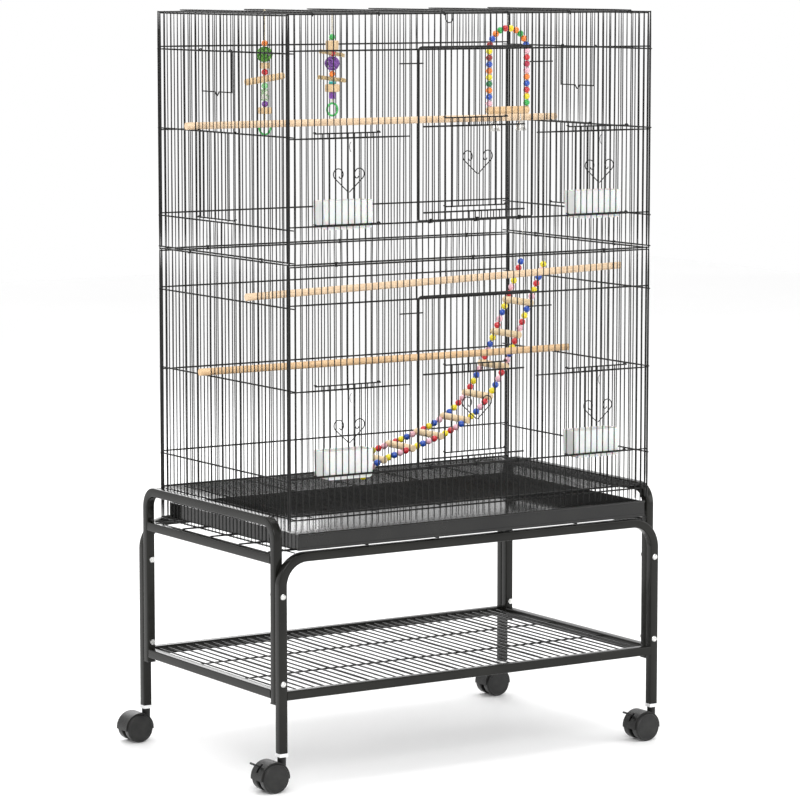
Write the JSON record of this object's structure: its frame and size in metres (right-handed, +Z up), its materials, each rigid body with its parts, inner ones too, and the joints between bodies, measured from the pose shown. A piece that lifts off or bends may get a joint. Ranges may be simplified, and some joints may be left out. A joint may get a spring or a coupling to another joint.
{
  "type": "bird cage on rolling stand",
  "caption": "Wire bird cage with drop-down and sliding doors, feeders, perches and toys, over a slide-out tray, on a black tube stand with a wire shelf and casters.",
  "frame": {"origin": "floor level under the centre of the whole outline, casters and brake pedals included", "axes": "+Z up, +X to the right along the front, +Y from the front to the back"},
  "size_m": [0.8522, 0.527, 1.3235],
  "materials": {
    "black_tube": "gloss",
    "black_wire": "gloss",
    "zinc_fasteners": "bright",
    "white_socket": "satin",
    "black_plastic": "satin",
    "cup_plastic": "translucent white",
    "tray_plastic": "gloss",
    "pale_wood": "matte",
    "toy_mix": "matte",
    "bead_plastic": "gloss",
    "bright_metal": "bright"
  },
  "bodies": {
    "cage_and_stand": {"front_leg_frame": "black_tube", "rear_leg_frame": "black_tube", "left_side_arch": "black_tube", "right_side_arch": "black_tube", "shelf_frame": "black_tube", "shelf_wires": "black_wire", "frame_bolts": "zinc_fasteners", "frame_nuts": "zinc_fasteners", "caster_sockets": "white_socket", "arch_plugs": "black_plastic", "base_rack": "black_wire", "front_panel_lower": "black_wire", "front_panel_upper": "black_wire", "back_panel_lower": "black_wire", "back_panel_upper": "black_wire", "left_panel_lower": "black_wire", "left_panel_upper": "black_wire", "right_panel_lower": "black_wire", "right_panel_upper": "black_wire", "roof_panel": "black_wire", "panel_clips": "black_wire", "door_hinge_clips": "black_wire", "floor_grate": "black_wire", "perch_upper": "pale_wood", "perch_tilted": "pale_wood", "perch_lower": "pale_wood", "bead_ladder": "bead_plastic", "ladder_rungs": "pale_wood", "ladder_hooks": "bright_metal"},
    "caster_fl": {"caster_fl_fork": "black_plastic"},
    "wheels_fl": {"caster_fl_wheels": "black_plastic"},
    "brake_fl": {"brake_lever_fl": "black_plastic"},
    "caster_fr": {"caster_fr_fork": "black_plastic"},
    "wheels_fr": {"caster_fr_wheels": "black_plastic"},
    "brake_fr": {"brake_lever_fr": "black_plastic"},
    "caster_rl": {"caster_rl_fork": "black_plastic"},
    "wheels_rl": {"caster_rl_wheels": "black_plastic"},
    "caster_rr": {"caster_rr_fork": "black_plastic"},
    "wheels_rr": {"caster_rr_wheels": "black_plastic"},
    "tray": {"slide_tray": "tray_plastic"},
    "main_door_upper": {"main_door_upper": "black_wire"},
    "slider_upper_left": {"slider_upper_left": "black_wire"},
    "cup_upper_left": {"cup_upper_left": "cup_plastic"},
    "slider_upper_right": {"slider_upper_right": "black_wire"},
    "cup_upper_right": {"cup_upper_right": "cup_plastic"},
    "slider_upper_centre": {"slider_upper_centre": "black_wire"},
    "main_door_lower": {"main_door_lower": "black_wire"},
    "slider_lower_left": {"slider_lower_left": "black_wire"},
    "cup_lower_left": {"cup_lower_left": "cup_plastic"},
    "slider_lower_right": {"slider_lower_right": "black_wire"},
    "cup_lower_right": {"cup_lower_right": "cup_plastic"},
    "slider_lower_centre": {"slider_lower_centre": "black_wire"},
    "slider_side_left": {"slider_side_left": "black_wire"},
    "slider_side_right": {"slider_side_right": "black_wire"},
    "hanger_left": {"hanger_left": "black_wire"},
    "hanger_right": {"hanger_right": "black_wire"},
    "ball_toy": {"toy_ball_string": "toy_mix"},
    "disc_toy": {"toy_disc_string": "toy_mix"},
    "swing": {"bead_swing": "bead_plastic", "swing_bells": "bright_metal"}
  },
  "joints": [
    {"name": "caster_fl_swivel", "type": "hinge", "parent": "cage_and_stand", "child": "caster_fl", "pos_m": [-0.3655, -0.242, 0.058], "axis": [0, 0, 1], "continuous": true},
    {"name": "wheels_fl_spin", "type": "hinge", "parent": "caster_fl", "child": "wheels_fl", "pos_m": [-0.388, -0.242, 0.025], "axis": [0, 1, 0], "continuous": true},
    {"name": "brake_fl_press", "type": "hinge", "parent": "caster_fl", "child": "brake_fl", "pos_m": [-0.402, -0.242, 0.042], "axis": [0, 1, 0], "range_deg": [-12, 0]},
    {"name": "caster_fr_swivel", "type": "hinge", "parent": "cage_and_stand", "child": "caster_fr", "pos_m": [0.4185, -0.242, 0.058], "axis": [0, 0, 1], "continuous": true},
    {"name": "wheels_fr_spin", "type": "hinge", "parent": "caster_fr", "child": "wheels_fr", "pos_m": [0.396, -0.242, 0.025], "axis": [0, 1, 0], "continuous": true},
    {"name": "brake_fr_press", "type": "hinge", "parent": "caster_fr", "child": "brake_fr", "pos_m": [0.382, -0.242, 0.042], "axis": [0, 1, 0], "range_deg": [-12, 0]},
    {"name": "caster_rl_swivel", "type": "hinge", "parent": "cage_and_stand", "child": "caster_rl", "pos_m": [-0.3655, 0.242, 0.058], "axis": [0, 0, 1], "continuous": true},
    {"name": "wheels_rl_spin", "type": "hinge", "parent": "caster_rl", "child": "wheels_rl", "pos_m": [-0.388, 0.242, 0.025], "axis": [0, 1, 0], "continuous": true},
    {"name": "caster_rr_swivel", "type": "hinge", "parent": "cage_and_stand", "child": "caster_rr", "pos_m": [0.4185, 0.242, 0.058], "axis": [0, 0, 1], "continuous": true},
    {"name": "wheels_rr_spin", "type": "hinge", "parent": "caster_rr", "child": "wheels_rr", "pos_m": [0.396, 0.242, 0.025], "axis": [0, 1, 0], "continuous": true},
    {"name": "tray_pull", "type": "slide", "parent": "cage_and_stand", "child": "tray", "axis": [0, -1, 0], "range_m": [0, 0.4]},
    {"name": "main_door_upper_drop", "type": "hinge", "parent": "cage_and_stand", "child": "main_door_upper", "pos_m": [0.0265, -0.2479, 0.9638], "axis": [1, 0, 0], "range_deg": [0, 120]},
    {"name": "slider_upper_left_lift", "type": "slide", "parent": "cage_and_stand", "child": "slider_upper_left", "axis": [0, 0, 1], "range_m": [0, 0.125]},
    {"name": "cup_upper_left_lift_off", "type": "slide", "parent": "cage_and_stand", "child": "cup_upper_left", "axis": [0, 0, 1], "range_m": [0, 0.03]},
    {"name": "slider_upper_right_lift", "type": "slide", "parent": "cage_and_stand", "child": "slider_upper_right", "axis": [0, 0, 1], "range_m": [0, 0.125]},
    {"name": "cup_upper_right_lift_off", "type": "slide", "parent": "cage_and_stand", "child": "cup_upper_right", "axis": [0, 0, 1], "range_m": [0, 0.03]},
    {"name": "slider_upper_centre_lift", "type": "slide", "parent": "main_door_upper", "child": "slider_upper_centre", "axis": [0, 0, 1], "range_m": [0, 0.11]},
    {"name": "main_door_lower_drop", "type": "hinge", "parent": "cage_and_stand", "child": "main_door_lower", "pos_m": [0.0265, -0.2479, 0.5355], "axis": [1, 0, 0], "range_deg": [0, 105]},
    {"name": "slider_lower_left_lift", "type": "slide", "parent": "cage_and_stand", "child": "slider_lower_left", "axis": [0, 0, 1], "range_m": [0, 0.125]},
    {"name": "cup_lower_left_lift_off", "type": "slide", "parent": "cage_and_stand", "child": "cup_lower_left", "axis": [0, 0, 1], "range_m": [0, 0.03]},
    {"name": "slider_lower_right_lift", "type": "slide", "parent": "cage_and_stand", "child": "slider_lower_right", "axis": [0, 0, 1], "range_m": [0, 0.125]},
    {"name": "cup_lower_right_lift_off", "type": "slide", "parent": "cage_and_stand", "child": "cup_lower_right", "axis": [0, 0, 1], "range_m": [0, 0.03]},
    {"name": "slider_lower_centre_lift", "type": "slide", "parent": "main_door_lower", "child": "slider_lower_centre", "axis": [0, 0, 1], "range_m": [0, 0.11]},
    {"name": "slider_side_left_lift", "type": "slide", "parent": "cage_and_stand", "child": "slider_side_left", "axis": [0, 0, 1], "range_m": [0, 0.125]},
    {"name": "slider_side_right_lift", "type": "slide", "parent": "cage_and_stand", "child": "slider_side_right", "axis": [0, 0, 1], "range_m": [0, 0.125]},
    {"name": "hanger_left_swing", "type": "hinge", "parent": "cage_and_stand", "child": "hanger_left", "pos_m": [-0.34547, 0, 1.2535], "axis": [0, 1, 0], "range_deg": [-60, 0]},
    {"name": "hanger_right_swing", "type": "hinge", "parent": "cage_and_stand", "child": "hanger_right", "pos_m": [0.39847, 0, 1.2535], "axis": [0, 1, 0], "range_deg": [0, 60]},
    {"name": "ball_toy_sway", "type": "hinge", "parent": "cage_and_stand", "child": "ball_toy", "pos_m": [-0.178, 0.12454, 1.3195], "axis": [1, 0, 0], "range_deg": [-8, 8]},
    {"name": "disc_toy_sway", "type": "hinge", "parent": "cage_and_stand", "child": "disc_toy", "pos_m": [-0.1135, -0.00071, 1.3195], "axis": [1, 0, 0], "range_deg": [-20, 20]},
    {"name": "swing_sway", "type": "hinge", "parent": "cage_and_stand", "child": "swing", "pos_m": [0.2445, -0.02576, 1.3195], "axis": [1, 0, 0], "range_deg": [-15, 15]}
  ]
}
